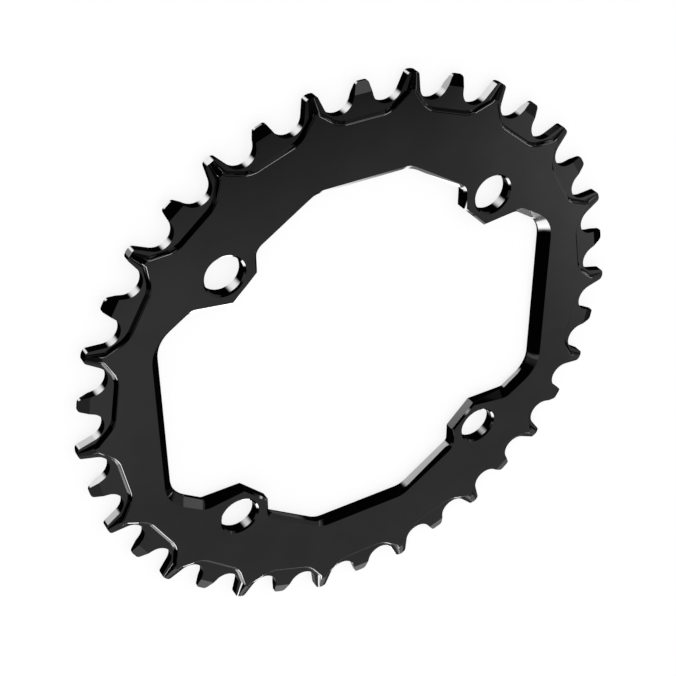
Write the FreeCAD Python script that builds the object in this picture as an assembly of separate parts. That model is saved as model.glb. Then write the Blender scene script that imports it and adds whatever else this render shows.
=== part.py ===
import FreeCAD, Part
import math
import os

from FreeCAD import Vector

# Narrow-wide bicycle chainring for a four-bolt crank, machined from one plate.
# It lies on its back face at z = 0, with its axis on +Z and its pocketed front face up.
# Lengths are in millimetres and angles in degrees.

# Chain and teeth
chain_pitch = 12.7
tooth_pair_count = 18
root_below_pitch = 3.69
roller_seat_radius = 3.93
flank_lean = 15.3
tip_corner_radius = 1.0
wide_tip_above_pitch = 3.24
narrow_tip_above_pitch = 2.74
wide_bevel_from_pitch = -0.7
wide_bevel_angle = 11.0
narrow_bevel_from_pitch = 0.0
narrow_bevel_angle = 15.0

# Plate
plate_thickness = 3.9
web_thickness = 3.0
rim_band_width = 4.8

# Pockets round the narrow teeth on both faces, with the ribs of the wide teeth between them
narrow_tooth_thickness = 2.1
pocket_below_root = 2.79
pocket_corner_radius = 7.2
pocket_corner_cut_count = 3
rib_half_width = 0.62
rib_foot_from_pitch = -1.61
rib_taper = 10.0
rib_flare = 43.0
pocket_wall_run = 0.98
pocket_round_run = 0.4
pocket_round_drop = 0.22
back_wall_run = 0.64

# Crank bolts
bolt_count = 4
bolt_circle_diameter = 104.0
bolt_hole_diameter = 10.0
bolt_hole_chamfer = 0.47

# Window through the plate, with a tab at each bolt hole
window_half_width = 53.85
window_half_height = 50.3
window_slant_angle = 55.9
window_slant_distance = 49.22
tab_tip_from_bolt = 7.2
tab_side_from_bolt = 8.4
window_side_corner_radius = 8.0
window_top_corner_radius = 6.0
tab_root_corner_radius = 1.5

# Bevel round the front edge of the window, at 45 degrees
side_bevel = 2.4
top_bevel = 1.45
slant_bevel = 1.15
slant_bevel_turn = 1.5
tab_tip_bevel = 0.5
tab_inner_bevel = 0.65
tab_outer_bevel = 0.6
tab_outer_bevel_turn = 7.8
front_side_corner_radius = 10.0
front_top_corner_radius = 5.8
front_tab_root_radius = 4.0

# Radius that stands for a corner left sharp, and the most of a wall that the rounds at its ends take up
sharp_corner = 0.0
rounded_share_of_wall = 0.95

# Straight tools reach this far past the faces that they cut, and tapered ones rise this far
overcut = 1.0
tool_rise = 0.2

# Derived sizes
tooth_count = 2 * tooth_pair_count
tooth_angle = 360.0 / tooth_count
pitch_radius = chain_pitch / (2.0 * math.sin(math.radians(tooth_angle / 2.0)))
root_radius = pitch_radius - root_below_pitch
wide_tip_radius = pitch_radius + wide_tip_above_pitch
narrow_tip_radius = pitch_radius + narrow_tip_above_pitch
pocket_radius = root_radius - pocket_below_root
pocket_depth = (plate_thickness - narrow_tooth_thickness) / 2.0
relief_depth = plate_thickness - web_thickness
relief_radius = pocket_radius - rim_band_width
bolt_circle_radius = bolt_circle_diameter / 2.0
bolt_hole_radius = bolt_hole_diameter / 2.0
bolt_offset = bolt_circle_radius * math.sin(math.radians(45.0))
axis = Vector(0, 0, 1)
origin = Vector(0, 0, 0)

# Each tooth and its tools are drawn on the +Y axis, and then turned to their place
drawing_axis = 90.0


def direction(angle):
    """Unit vector in the plane of the ring."""
    turn = math.radians(angle)
    return Vector(math.cos(turn), math.sin(turn), 0)


def crossing(first, second):
    """Point where two lines meet, each given as the angle of its normal and its distance."""
    a = direction(first[0])
    b = direction(second[0])
    spread = a.x * b.y - a.y * b.x
    x = (first[1] * b.y - second[1] * a.y) / spread
    y = (second[1] * a.x - first[1] * b.x) / spread
    return Vector(x, y, 0)


def line_through(point, along_angle):
    """Line through a point, as the angle of its normal and its distance."""
    normal_angle = along_angle - 90.0
    return (normal_angle, direction(normal_angle).dot(point))


def corner_frame(corners, index, radius):
    """Centre of the round in a corner, the way from it to the corner, and half the turn."""
    point = corners[index]
    back = (corners[index - 1] - point).normalize()
    ahead = (corners[(index + 1) % len(corners)] - point).normalize()
    half_angle = back.getAngle(ahead) / 2.0
    bisector = (back + ahead).normalize()
    return point + bisector * (radius / math.sin(half_angle)), -bisector, math.pi / 2.0 - half_angle


def fitted_radii(corners, radii):
    """Radii of the rounds in corners, each limited by the walls beside it."""
    setbacks = []
    for index, radius in enumerate(radii):
        half_turn = corner_frame(corners, index, radius)[2]
        setbacks.append(radius * math.tan(half_turn))
    shares = []
    for index, setback in enumerate(setbacks):
        wall = (corners[index] - corners[index - 1]).Length
        taken = setbacks[index - 1] + setback
        room = rounded_share_of_wall * wall
        shares.append(room / taken if taken > room else 1.0)
    following = shares[1:] + shares[:1]
    return [radius * min(pair) for radius, pair in zip(radii, zip(shares, following))]


def rounded_wire(corners, radii, height):
    """Closed wire through corners, with an arc in each one that isn't left sharp."""
    radii = fitted_radii(corners, radii)
    lift = Vector(0, 0, height)
    count = len(corners)
    stretches = []
    for index in range(count):
        point = corners[index]
        if radii[index] == sharp_corner:
            stretches.append((point, point, point))
            continue
        centre, outward, half_turn = corner_frame(corners, index, radii[index])
        setback = radii[index] * math.tan(half_turn)
        start = point + (corners[index - 1] - point).normalize() * setback
        end = point + (corners[(index + 1) % count] - point).normalize() * setback
        stretches.append((start, centre + outward * radii[index], end))
    edges = []
    for index in range(count):
        start, middle, end = stretches[index]
        following = stretches[(index + 1) % count][0]
        if radii[index] > sharp_corner:
            edges.append(Part.Arc(start + lift, middle + lift, end + lift).toShape())
        edges.append(Part.LineSegment(end + lift, following + lift).toShape())
    return Part.Wire(edges)


def cut_corner(corners, index, radius, cuts):
    """Points that round a counter-clockwise corner with straight cuts, each touching its circle."""
    centre, outward, half_turn = corner_frame(corners, index, radius)
    step = 2.0 * half_turn / cuts
    reach = radius / math.cos(step / 2.0)
    points = []
    for number in range(cuts):
        turn = FreeCAD.Rotation(axis, math.degrees((number + 0.5) * step - half_turn))
        points.append(centre + turn.multVec(outward) * reach)
    return points


def turned(shape, angle):
    """Copy of a shape turned about the axis of the ring."""
    copy = shape.copy()
    copy.rotate(origin, axis, angle)
    return copy


def flipped(shape):
    """Copy of a shape mirrored to the other face of the plate."""
    return shape.mirror(Vector(0, 0, plate_thickness / 2.0), axis)


def tooth_edges(angle, tip_radius):
    """Outline of one tooth, from the roller seat before it to its own last flank."""
    half_pitch = math.radians(tooth_angle / 2.0)
    seat_distance = root_radius + roller_seat_radius
    seat = Vector(seat_distance * math.sin(half_pitch), seat_distance * math.cos(half_pitch), 0)
    outward = direction(flank_lean)
    upward = direction(drawing_axis + flank_lean)
    foot = seat - outward * roller_seat_radius
    across = outward.dot(foot) - tip_corner_radius
    inner = tip_radius - tip_corner_radius
    corner = outward * across + upward * math.sqrt(inner * inner - across * across)
    flank_end = corner + outward * tip_corner_radius
    tip_end = corner * (tip_radius / inner)
    bend = corner + (outward + corner / inner).normalize() * tip_corner_radius
    bottom = Vector(root_radius * math.sin(half_pitch), root_radius * math.cos(half_pitch), 0)

    def placed(point, side):
        local = FreeCAD.Rotation(axis, angle - drawing_axis)
        return local.multVec(Vector(side * point.x, point.y, 0))

    before = FreeCAD.Rotation(axis, -tooth_angle)
    seat_start = before.multVec(placed(foot, -1))
    edges = [Part.Arc(seat_start, placed(bottom, 1), placed(foot, 1)).toShape()]
    edges.append(Part.LineSegment(placed(foot, 1), placed(flank_end, 1)).toShape())
    edges.append(Part.Arc(placed(flank_end, 1), placed(bend, 1), placed(tip_end, 1)).toShape())
    top = placed(Vector(0, tip_radius, 0), 1)
    edges.append(Part.Arc(placed(tip_end, 1), top, placed(tip_end, -1)).toShape())
    edges.append(Part.Arc(placed(tip_end, -1), placed(bend, -1), placed(flank_end, -1)).toShape())
    edges.append(Part.LineSegment(placed(flank_end, -1), placed(foot, -1)).toShape())
    return edges


def toothed_plate():
    """Plate with its teeth, the wide ones at even places and the narrow ones between them."""
    edges = []
    for tooth in range(tooth_count):
        tip_radius = narrow_tip_radius if tooth % 2 else wide_tip_radius
        edges.extend(tooth_edges(tooth * tooth_angle, tip_radius))
    face = Part.Face(Part.Wire(edges))
    return face.extrude(Vector(0, 0, plate_thickness))


def stacked_solid(outlines):
    """Solid with flat walls between outlines that have the same number of points."""
    faces = [Part.Face(Part.makePolygon(outline + outline[:1])) for outline in (outlines[0], outlines[-1])]
    for upper, lower in zip(outlines, outlines[1:]):
        for index in range(len(upper)):
            wall = [upper[index - 1], upper[index], lower[index], lower[index - 1], upper[index - 1]]
            faces.append(Part.Face(Part.makePolygon(wall)))
    shell = Part.makeShell(faces)
    shell.sewShape()
    return Part.makeSolid(shell)


def pocket_outline(inset, depth):
    """Outline of the pocket round the narrow tooth on the +Y axis, drawn in by the inset.

    It is repeated all round both faces, so straight cuts round its corners.
    """
    rib_axis = drawing_axis - tooth_angle
    foot_radius = pitch_radius + rib_foot_from_pitch
    rib_foot = direction(rib_axis) * foot_radius + direction(rib_axis + 90.0) * rib_half_width
    taper = line_through(rib_foot, rib_axis - rib_taper)
    rib_side = (taper[0], taper[1] - inset)
    flare = line_through(rib_foot, rib_axis - rib_flare)
    flare_inner = (flare[0], flare[1] - inset)
    bottom = (drawing_axis, pocket_radius + inset)
    mouth = (drawing_axis, wide_tip_radius + 2.0 * overcut - inset)
    right = [crossing(bottom, flare_inner), crossing(flare_inner, rib_side), crossing(rib_side, mouth)]
    middle = Vector(0, bottom[1], 0)
    right = cut_corner([middle] + right, 1, pocket_corner_radius - inset, pocket_corner_cut_count) + right[1:]
    left = [Vector(-point.x, point.y, 0) for point in reversed(right)]
    lift = Vector(0, 0, plate_thickness - depth)
    return [point + lift for point in right + left]


def pocket(levels):
    """Pocket in the front face, through levels that are each an inset and a depth."""
    first, second = levels[:2]
    rise = tool_rise * (second[0] - first[0]) / (second[1] - first[1])
    above = (first[0] - rise, first[1] - tool_rise)
    return stacked_solid([pocket_outline(inset, depth) for inset, depth in [above] + levels[1:]])


def front_pocket():
    """Pocket whose walls ease out of the front face and into the floor."""
    return pocket([
        (0.0, 0.0),
        (pocket_round_run, pocket_round_drop),
        (pocket_wall_run - pocket_round_run, pocket_depth - pocket_round_drop),
        (pocket_wall_run, pocket_depth),
    ])


def back_pocket():
    """Plainer pocket for the back face, with one straight slope for its walls."""
    inset = (pocket_wall_run - back_wall_run) / 2.0
    return flipped(pocket([(inset, 0.0), (inset + back_wall_run, pocket_depth)]))


def tip_bevel(start, height, angle):
    """Tool that bevels the front of the tooth on the +Y axis, from a radius where it is at a height."""
    length = wide_tip_radius - start + 2.0 * overcut
    half_width = root_radius * math.sin(math.radians(tooth_angle / 2.0))
    block = Part.makeBox(2.0 * half_width, length, 2.0 * overcut)
    block.translate(Vector(-half_width, start, height))
    block.rotate(Vector(0, start, height), Vector(1, 0, 0), -angle)
    return block


def window_wire(lines, radii, height):
    """Outline of the window, from the lines and corner radii of its first quarter."""
    names = ["side", "slant", "tab_outer", "tab_tip", "tab_inner", "slant", "top"]
    quarter = []
    for index in range(len(names) - 1):
        point = crossing(lines[names[index]], lines[names[index + 1]])
        quarter.append((point, radii[index]))
    outline = []
    for x_sign, y_sign in ((1, 1), (-1, 1), (-1, -1), (1, -1)):
        corners = [(Vector(x_sign * p.x, y_sign * p.y, 0), r) for p, r in quarter]
        if x_sign * y_sign < 0:
            corners.reverse()
        outline.extend(corners)
    return rounded_wire([point for point, _ in outline], [radius for _, radius in outline], height)


def through_lines():
    """Straight stretches of the window below its bevel."""
    return {
        "side": (0.0, window_half_width),
        "slant": (window_slant_angle, window_slant_distance),
        "tab_outer": (90.0, bolt_offset - tab_side_from_bolt),
        "tab_tip": (45.0, bolt_circle_radius - tab_tip_from_bolt),
        "tab_inner": (0.0, bolt_offset - tab_side_from_bolt),
        "top": (90.0, window_half_height),
    }


def front_lines(depth):
    """Straight stretches of the bevel at a depth below the front face."""
    through = through_lines()
    tip = crossing(through["tab_outer"], through["tab_tip"])
    outer_angle = 90.0 + tab_outer_bevel_turn
    outer_distance = direction(outer_angle).dot(tip) + tab_outer_bevel
    return {
        "side": (0.0, window_half_width + side_bevel - depth),
        "slant": (window_slant_angle + slant_bevel_turn, window_slant_distance + slant_bevel - depth),
        "tab_outer": (outer_angle, outer_distance - depth),
        "tab_tip": (45.0, bolt_circle_radius - tab_tip_from_bolt + tab_tip_bevel - depth),
        "tab_inner": (0.0, bolt_offset - tab_side_from_bolt + tab_inner_bevel - depth),
        "top": (90.0, window_half_height + top_bevel - depth),
    }


def through_window():
    """Straight opening through the whole plate."""
    radii = [
        window_side_corner_radius,
        tab_root_corner_radius,
        sharp_corner,
        sharp_corner,
        tab_root_corner_radius,
        window_top_corner_radius,
    ]
    wire = window_wire(through_lines(), radii, -overcut)
    return Part.Face(wire).extrude(Vector(0, 0, plate_thickness + 2.0 * overcut))


def bevel_wire(depth):
    """Outline of the window's bevel at a depth below the front face."""
    radii = [
        front_side_corner_radius - depth,
        front_tab_root_radius - depth,
        sharp_corner,
        sharp_corner,
        front_tab_root_radius - depth,
        front_top_corner_radius - depth,
    ]
    return window_wire(front_lines(depth), radii, plate_thickness - depth)


def window_bevel():
    """Tool with 45-degree walls that narrows down from the window's front edge."""
    return Part.makeLoft([bevel_wire(side_bevel), bevel_wire(-tool_rise)], True, True)


def bolt_hole():
    """Bore and front chamfer of the bolt hole on the +X axis."""
    centre = Vector(bolt_circle_radius, 0, -overcut)
    bore = Part.makeCylinder(bolt_hole_radius, plate_thickness + 2.0 * overcut, centre, axis)
    height = bolt_hole_chamfer + overcut
    chamfer_base = Vector(bolt_circle_radius, 0, plate_thickness - bolt_hole_chamfer)
    chamfer = Part.makeCone(bolt_hole_radius, bolt_hole_radius + height, height, chamfer_base, axis)
    return bore.fuse(chamfer)


def back_relief():
    """Shallow round recess that thins the back of the web and the tabs."""
    base = Vector(0, 0, -overcut)
    wide = relief_radius + overcut
    narrow = relief_radius - relief_depth
    return Part.makeCone(wide, narrow, relief_depth + overcut, base, axis)


def chainring():
    """The whole ring as one solid."""
    tools = [through_window(), window_bevel(), back_relief()]
    for number in range(bolt_count):
        tools.append(turned(bolt_hole(), 45.0 + number * 360.0 / bolt_count))
    wide_start = pitch_radius + wide_bevel_from_pitch
    wide_bevel = tip_bevel(wide_start, plate_thickness, wide_bevel_angle)
    narrow_start = pitch_radius + narrow_bevel_from_pitch
    narrow_bevel = tip_bevel(narrow_start, plate_thickness - pocket_depth, narrow_bevel_angle)
    wide_tools = [wide_bevel, flipped(wide_bevel)]
    narrow_tools = [front_pocket(), back_pocket(), narrow_bevel, flipped(narrow_bevel)]
    for pair in range(tooth_pair_count):
        place = 2 * pair * tooth_angle - drawing_axis
        tools.extend(turned(tool, place) for tool in wide_tools)
        tools.extend(turned(tool, place + tooth_angle) for tool in narrow_tools)
    return toothed_plate().cut(tools)


os.makedirs("parts", exist_ok=True)
ring = chainring()
ring.exportStep("parts/chainring.step")
print("solids", len(ring.Solids), "valid", ring.isValid(), "faces", len(ring.Faces))
print("volume", round(ring.Volume, 2), "size", ring.BoundBox)
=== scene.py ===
import math

import bpy
from mathutils import Matrix, Vector


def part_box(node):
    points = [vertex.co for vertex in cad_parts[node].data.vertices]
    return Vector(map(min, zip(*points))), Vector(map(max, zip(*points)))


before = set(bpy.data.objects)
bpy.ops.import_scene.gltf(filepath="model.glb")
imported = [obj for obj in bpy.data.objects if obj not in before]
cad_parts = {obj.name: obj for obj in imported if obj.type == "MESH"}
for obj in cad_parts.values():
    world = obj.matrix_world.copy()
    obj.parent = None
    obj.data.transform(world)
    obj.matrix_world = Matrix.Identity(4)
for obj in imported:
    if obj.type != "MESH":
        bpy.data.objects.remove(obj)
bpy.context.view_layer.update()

# The camera that matches the photograph. Places are in metres from the centre of the ring's front face,
# and the turn is given by the directions that the camera sees as right and down.
camera_place = Vector((-0.14582, 0.21186, 0.24586))
camera_right = Vector((0.8694, -0.00608, 0.49407))
camera_down = Vector((-0.29266, -0.81199, 0.505))
camera_focal_pixels = 1411.7
photo_width_pixels = 676
sensor_width = 36.0

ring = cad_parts["chainring"]
ring_low, ring_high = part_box("chainring")
ring_radius = ring_high.x
front_height = ring_high.z

# Faces that meet at less than the smooth limit are shaded as one curve, other than the bevels of the
# teeth, which are flats that lean a little. A ridge has a wall with a narrow strip above and below it.
# The upper strip takes its normals from the ring's face and the wall, and the foot strip from the wall.
flat_limit = math.radians(0.3)
smooth_limit = math.radians(42.0)
bevel_leans = (math.radians(8.0), math.radians(18.0))
ridge_strip_leans = (math.radians(27.0), math.radians(31.0))
ridge_middle = 0.00345

# The coating: the dark and the light of its mottle, the sizes of its mottle and grain, and its gloss
coating_dark = (0.085, 0.085, 0.087, 1)
coating_light = (0.095, 0.095, 0.097, 1)
mottle_scale = 90.0
mottle_share = (0.35, 0.65)
grain_scale = 1400.0
grain_strength = 0.02
grain_depth = 0.0001
coating_roughness = (0.045, 0.075)

# Soft boxes of the studio, as the ring mirrors them: the way to the middle of each as an angle round from +X
# and an angle up from the ring's plane, its half width and the half width of its soft edge, and its strength.
# Most were fitted to the photograph's highlights by a separate program and then rounded. The front strip, the
# right corner, the overhead back and the ceiling were placed one by one.
soft_boxes = {
    "sweep_behind": (123.0, -57.0, 13.2, 13.1, 8.4),
    "front_wide": (-92.0, -2.0, 24.4, 23.8, 1.0),
    "front_low": (-73.0, -28.0, 10.0, 4.0, 4.0),
    "front_foot": (-90.0, -22.0, 8.5, 7.4, 2.0),
    "front_left": (-119.0, 15.0, 7.6, 7.5, 2.08),
    "left_low": (-122.0, -18.0, 6.7, 3.2, 0.96),
    "front_panel": (-60.0, 29.0, 24.3, 4.2, 0.272),
    "front_top": (-75.0, 57.7, 8.4, 6.3, 0.136),
    "front_strip": (-113.0, 6.0, 17.0, 5.0, 9.0),
    "front_side": (-105.0, 47.3, 13.0, 2.0, 0.176),
    "right_panel": (-29.0, 35.0, 12.2, 4.2, 0.288),
    "right_corner": (-4.0, 28.0, 6.0, 3.5, 6.4),
    "right_lamp": (-16.5, 15.0, 6.2, 1.8, 0.96),
    "right_sheet": (18.4, 6.0, 31.0, 7.4, 0.24),
    "right_window": (18.0, 25.5, 2.7, 2.5, 0.52),
    "right_low": (4.3, -30.6, 5.5, 3.6, 0.4),
    "back_lamp": (64.0, 3.0, 7.6, 7.2, 1.52),
    "back_panel": (95.0, 18.0, 12.5, 9.5, 0.48),
    "left_lamp": (-151.6, 44.5, 6.9, 4.1, 0.72),
    "left_glow": (-177.0, 27.7, 12.1, 11.3, 0.32),
    "overhead_lamp": (8.0, 62.0, 6.8, 5.8, 0.68),
    "overhead_back": (56.0, 64.0, 13.0, 5.0, 5.6),
    "ceiling": (60.0, 82.0, 7.0, 4.0, 0.24),
    "overhead_slit": (-46.0, 81.0, 3.2, 1.0, 0.2),
}
room_level = 0.005
plain_level = 0.72
background_level = 1.0

floor_size = 6.0
floor_gap = 0.0001
floor_grey = (0.25, 0.25, 0.25, 1)
floor_glow = 0.83


def node(tree, kind, inputs=None, **settings):
    """A shader node, with its settings and the values or links of its inputs."""
    made = tree.nodes.new(kind)
    for name, value in settings.items():
        setattr(made, name, value)
    for key, value in (inputs or {}).items():
        if isinstance(value, bpy.types.NodeSocket):
            tree.links.new(value, made.inputs[key])
        else:
            made.inputs[key].default_value = value
    return made


def math_node(tree, operation, *values):
    """The result of a Math node."""
    return node(tree, "ShaderNodeMath", dict(enumerate(values)), operation=operation).outputs[0]


def flat_regions(faces, neighbours, angles):
    """Number of the flat region that each face lies in, and the area of each region."""
    region_of = [None] * len(faces)
    areas = []
    for seed in range(len(faces)):
        if region_of[seed] is not None:
            continue
        region_of[seed] = len(areas)
        waiting = [seed]
        area = 0.0
        while waiting:
            face = waiting.pop()
            area += faces[face].area
            for other in neighbours[face]:
                if region_of[other] is None and angles[face, other] < flat_limit:
                    region_of[other] = region_of[face]
                    waiting.append(other)
        areas.append(area)
    return region_of, areas


def smooth_ridges():
    """Shades the pocket ridges and the arcs as curves, and keeps flats flat and every real edge crisp."""
    mesh = ring.data
    faces = mesh.polygons
    places = [tuple(round(value, 6) for value in vertex.co) for vertex in mesh.vertices]
    faces_at = {}
    faces_on = {}
    for face in faces:
        corners = [places[index] for index in face.vertices]
        for corner, following in zip(corners, corners[1:] + corners[:1]):
            faces_at.setdefault(corner, []).append(face.index)
            faces_on.setdefault(frozenset((corner, following)), []).append(face.index)
    neighbours = {face.index: set() for face in faces}
    angles = {}
    for pair in faces_on.values():
        for face in pair:
            for other in pair:
                if face != other:
                    neighbours[face].add(other)
                    angles[face, other] = faces[face].normal.angle(faces[other].normal, 0.0)
    region_of, areas = flat_regions(faces, neighbours, angles)

    leans = [math.acos(min(1.0, abs(face.normal.z))) for face in faces]

    def leans_as(face, limits):
        return limits[0] < leans[face] < limits[1]

    ridge_strips = {face.index for face in faces if leans_as(face.index, ridge_strip_leans)}
    foot_strips = {face for face in ridge_strips if faces[face].center.z < ridge_middle}
    foot_walls = {}
    for face in foot_strips:
        for other in neighbours[face]:
            if leans[other] > smooth_limit:
                foot_walls.setdefault(region_of[face], Vector()).xyz += faces[other].normal

    def runs_on(face, other):
        angle = angles[face, other]
        if (face in foot_strips) != (other in foot_strips) and min(leans[face], leans[other]) < flat_limit:
            return False
        if leans_as(face, bevel_leans) or leans_as(other, bevel_leans):
            return angle < flat_limit
        return angle < smooth_limit

    normals = []
    for face in faces:
        for vertex in face.vertices:
            around = set(faces_at[places[vertex]])
            joined = {face.index}
            waiting = [face.index]
            while waiting:
                for other in neighbours[waiting.pop()] & around - joined:
                    if any(runs_on(known, other) for known in joined if other in neighbours[known]):
                        joined.add(other)
                        waiting.append(other)
            firm = joined - ridge_strips
            wall = foot_walls.get(region_of[face.index])
            if not firm and face.index in foot_strips and wall is not None:
                normals.append(wall.normalized())
                continue
            total = Vector()
            for region, member in {region_of[member]: member for member in sorted(firm or joined)}.items():
                total += faces[member].normal * areas[region] ** 2
            normals.append(total.normalized())
    mesh.shade_smooth()
    mesh.normals_split_custom_set(normals)


def black_anodised():
    """Glossy black anodised aluminium, with a faint mottle in its colour and a fine grain in its gloss."""
    material = bpy.data.materials.new("black_anodised_aluminium")
    material.use_nodes = True
    tree = material.node_tree
    surface = tree.nodes["Principled BSDF"]
    place = node(tree, "ShaderNodeTexCoord").outputs["Object"]

    mottle = node(tree, "ShaderNodeTexNoise", {"Vector": place, "Scale": mottle_scale, "Detail": 4.0})
    colour = node(tree, "ShaderNodeValToRGB", {"Fac": mottle.outputs["Fac"]})
    for stop, share, shade in zip(colour.color_ramp.elements, mottle_share, (coating_dark, coating_light)):
        stop.position = share
        stop.color = shade
    tree.links.new(colour.outputs["Color"], surface.inputs["Base Color"])

    fine = node(tree, "ShaderNodeTexNoise", {"Vector": place, "Scale": grain_scale, "Detail": 3.0})
    smooth, rough = coating_roughness
    gloss = node(
        tree,
        "ShaderNodeMapRange",
        {"Value": fine.outputs["Fac"], "To Min": smooth, "To Max": rough},
    )
    tree.links.new(gloss.outputs["Result"], surface.inputs["Roughness"])
    grain = node(
        tree,
        "ShaderNodeBump",
        {"Height": fine.outputs["Fac"], "Strength": grain_strength, "Distance": grain_depth},
    )
    tree.links.new(grain.outputs["Normal"], surface.inputs["Normal"])
    surface.inputs["Metallic"].default_value = 1.0
    ring.data.materials.clear()
    ring.data.materials.append(material)


def soft_box(tree, direction, azimuth, height, half_width, edge, strength):
    """Light of one soft box in a direction of view."""
    swing = math.radians(azimuth)
    lift = math.radians(height)
    toward = (math.cos(lift) * math.cos(swing), math.cos(lift) * math.sin(swing), math.sin(lift))
    facing = node(tree, "ShaderNodeVectorMath", {0: direction, 1: toward}, operation="DOT_PRODUCT")
    outer = math.cos(math.radians(half_width + edge))
    inner = math.cos(math.radians(half_width - edge))
    ramp = node(
        tree,
        "ShaderNodeMapRange",
        {"Value": facing.outputs["Value"], "From Min": outer, "From Max": inner, "To Max": strength},
        interpolation_type="SMOOTHSTEP",
    )
    return ramp.outputs["Result"]


def studio():
    """White background, plain even light, and soft boxes that show only in reflections."""
    scene = bpy.context.scene
    world = bpy.data.worlds.new("studio")
    scene.world = world
    world.use_nodes = True
    tree = world.node_tree
    tree.nodes.clear()
    path = node(tree, "ShaderNodeLightPath")
    direction = node(tree, "ShaderNodeTexCoord").outputs["Generated"]
    level = room_level
    for box in soft_boxes.values():
        level = math_node(tree, "ADD", level, soft_box(tree, direction, *box))
    mirrored = node(
        tree,
        "ShaderNodeMix",
        {"Factor": path.outputs["Is Glossy Ray"], "A": plain_level, "B": level},
    )
    shown = node(
        tree,
        "ShaderNodeMix",
        {"Factor": path.outputs["Is Camera Ray"], "A": mirrored.outputs["Result"], "B": background_level},
    )
    light = node(
        tree,
        "ShaderNodeBackground",
        {"Color": (1, 1, 1, 1), "Strength": shown.outputs["Result"]},
    )
    node(tree, "ShaderNodeOutputWorld", {"Surface": light.outputs[0]})


def floor():
    """Pale floor under the ring. It shows the ring's soft shadow, and mirrors see past it to the studio."""
    bpy.ops.mesh.primitive_plane_add(size=floor_size, location=(0, 0, ring_low.z - floor_gap))
    plane = bpy.context.object
    plane.name = "floor"
    material = bpy.data.materials.new("pale_floor")
    material.use_nodes = True
    tree = material.node_tree
    tree.nodes.clear()
    path = node(tree, "ShaderNodeLightPath")
    matt = node(tree, "ShaderNodeBsdfDiffuse", {"Color": floor_grey})
    glow = node(tree, "ShaderNodeEmission", {"Strength": floor_glow})
    seen = node(tree, "ShaderNodeAddShader", {0: matt.outputs[0], 1: glow.outputs[0]})
    lit = node(
        tree,
        "ShaderNodeMixShader",
        {"Fac": path.outputs["Is Camera Ray"], 1: matt.outputs[0], 2: seen.outputs[0]},
    )
    clear = node(tree, "ShaderNodeBsdfTransparent")
    surface = node(
        tree,
        "ShaderNodeMixShader",
        {"Fac": path.outputs["Is Glossy Ray"], 1: lit.outputs[0], 2: clear.outputs[0]},
    )
    node(tree, "ShaderNodeOutputMaterial", {"Surface": surface.outputs[0]})
    plane.data.materials.append(material)


def camera():
    """Camera at the photograph's place and angle."""
    right = camera_right.normalized()
    down = (camera_down - right * camera_down.dot(right)).normalized()
    back = right.cross(-down)
    turn = Matrix((right, -down, back)).transposed().to_4x4()
    lens = bpy.data.cameras.new("camera")
    lens.sensor_width = sensor_width
    lens.lens = camera_focal_pixels * sensor_width / photo_width_pixels
    made = bpy.data.objects.new("camera", lens)
    made.matrix_world = Matrix.Translation(camera_place + Vector((0, 0, front_height))) @ turn
    lens.clip_start = ring_radius / 10
    lens.clip_end = 100 * ring_radius
    bpy.context.scene.collection.objects.link(made)
    bpy.context.scene.camera = made


smooth_ridges()
black_anodised()
studio()
floor()
camera()
bpy.context.scene.view_settings.view_transform = "Standard"
